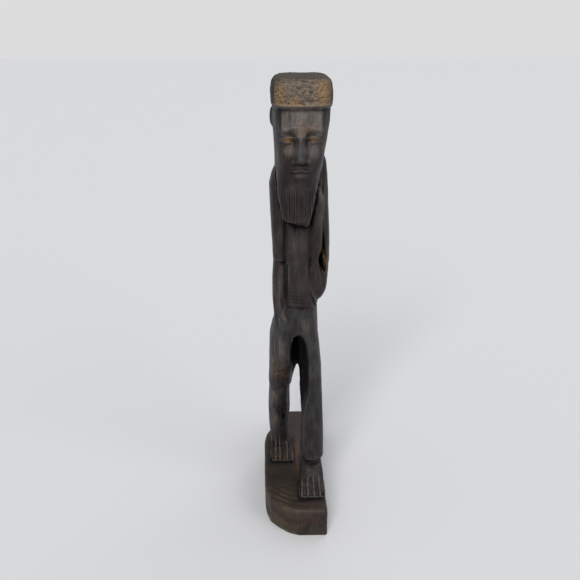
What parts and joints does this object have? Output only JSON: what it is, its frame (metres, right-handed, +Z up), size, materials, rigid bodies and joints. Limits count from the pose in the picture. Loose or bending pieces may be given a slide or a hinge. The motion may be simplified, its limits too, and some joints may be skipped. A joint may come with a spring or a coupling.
{
  "type": "carved ancestor figure",
  "caption": "Narrow dark wood carving of a bearded standing figure with a block of hair, one hand on the thigh, striding on a low plinth.",
  "frame": {"origin": "middle of the plinth's underside", "axes": "+Z up, the figure faces -Y, and its left side is towards +X"},
  "size_m": [0.0814, 0.231, 0.53],
  "materials": {
    "figure_wood": "dark brown oiled hardwood with a waxy grey sheen, upright grain and lighter sapwood where it is worn",
    "plinth_wood": "dark olive brown hardwood with reddish growth bands and saw lines, satin",
    "peg_wood": "plain light hardwood, unfinished"
  },
  "bodies": {
    "root": {"figure": "figure_wood", "plinth": "plinth_wood", "front_foot_peg": "peg_wood", "rear_foot_peg": "peg_wood"}
  },
  "joints": []
}
